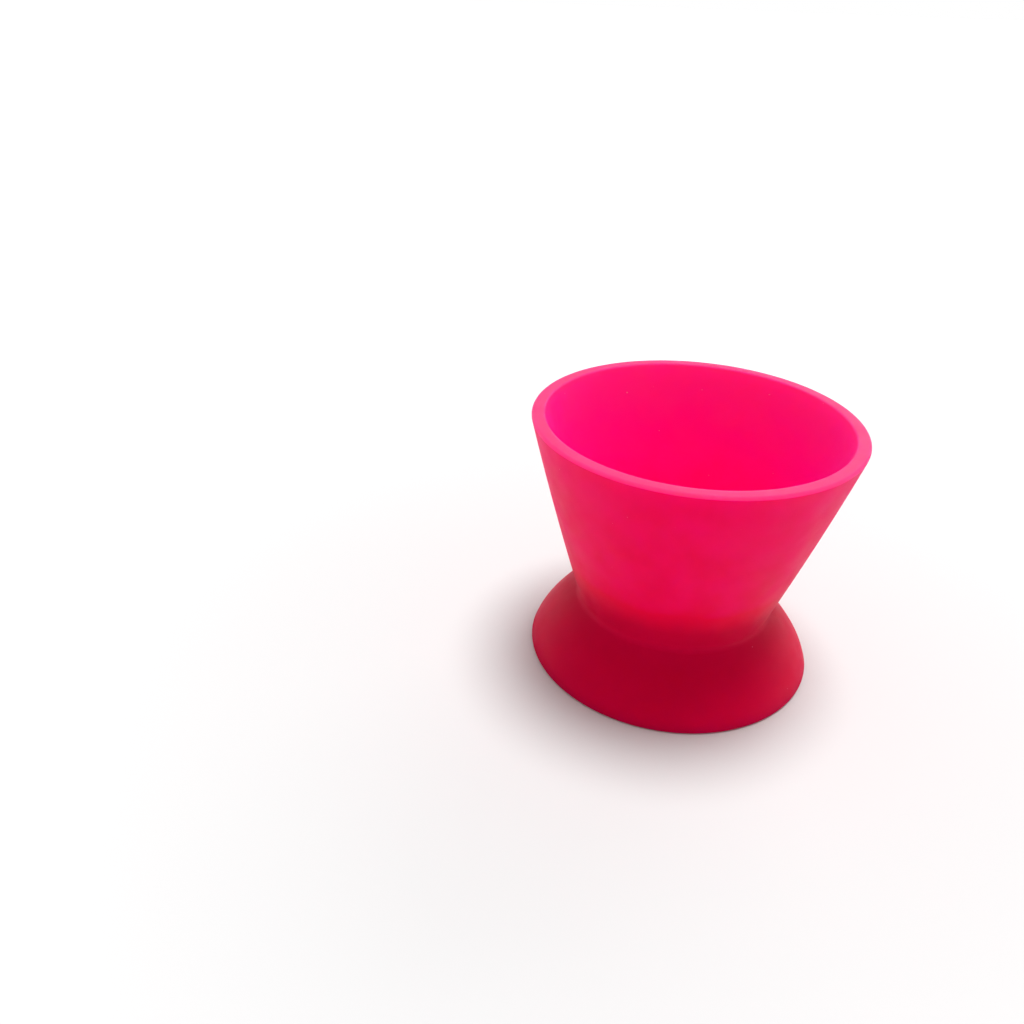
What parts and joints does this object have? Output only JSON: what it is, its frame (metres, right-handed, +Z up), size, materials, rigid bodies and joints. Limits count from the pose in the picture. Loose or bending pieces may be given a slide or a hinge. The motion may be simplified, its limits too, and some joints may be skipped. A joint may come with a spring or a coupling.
{
  "type": "silicone cup",
  "caption": "Soft silicone hourglass cup: a conical bowl on a narrow waist and a hollow flared skirt that it stands on; it can be pressed, leaned and pushed out from below.",
  "frame": {"origin": "on the cup's axis, in the plane that the foot stands on", "axes": "+Z up along the cup's axis, from the foot to the bowl's mouth"},
  "size_m": [0.06, 0.06, 0.05],
  "materials": {
    "silicone": "satin translucent hot pink silicone"
  },
  "bodies": {
    "foot": {"foot_lip": "silicone", "skirt_wall": "silicone"},
    "waist": {"waist_ring": "silicone", "bowl_root": "silicone"},
    "bowl": {"bowl_wall": "silicone", "rim_lip": "silicone"},
    "floor": {"bowl_floor": "silicone"}
  },
  "joints": [
    {"name": "skirt_press", "type": "slide", "parent": "foot", "child": "waist", "axis": [0, 0, 1], "range_m": [-0.004, 0], "stiffness_N_per_m": 1500, "deforming": ["skirt_wall"]},
    {"name": "bowl_lean", "type": "hinge", "parent": "waist", "child": "bowl", "pos_m": [0, 0, 0.0256], "axis": [0, 1, 0], "range_deg": [-8, 8], "stiffness_Nm_per_rad": 1, "deforming": ["bowl_root"]},
    {"name": "floor_push", "type": "slide", "parent": "waist", "child": "floor", "axis": [0, 0, 1], "range_m": [-0.002, 0.002], "stiffness_N_per_m": 500}
  ]
}
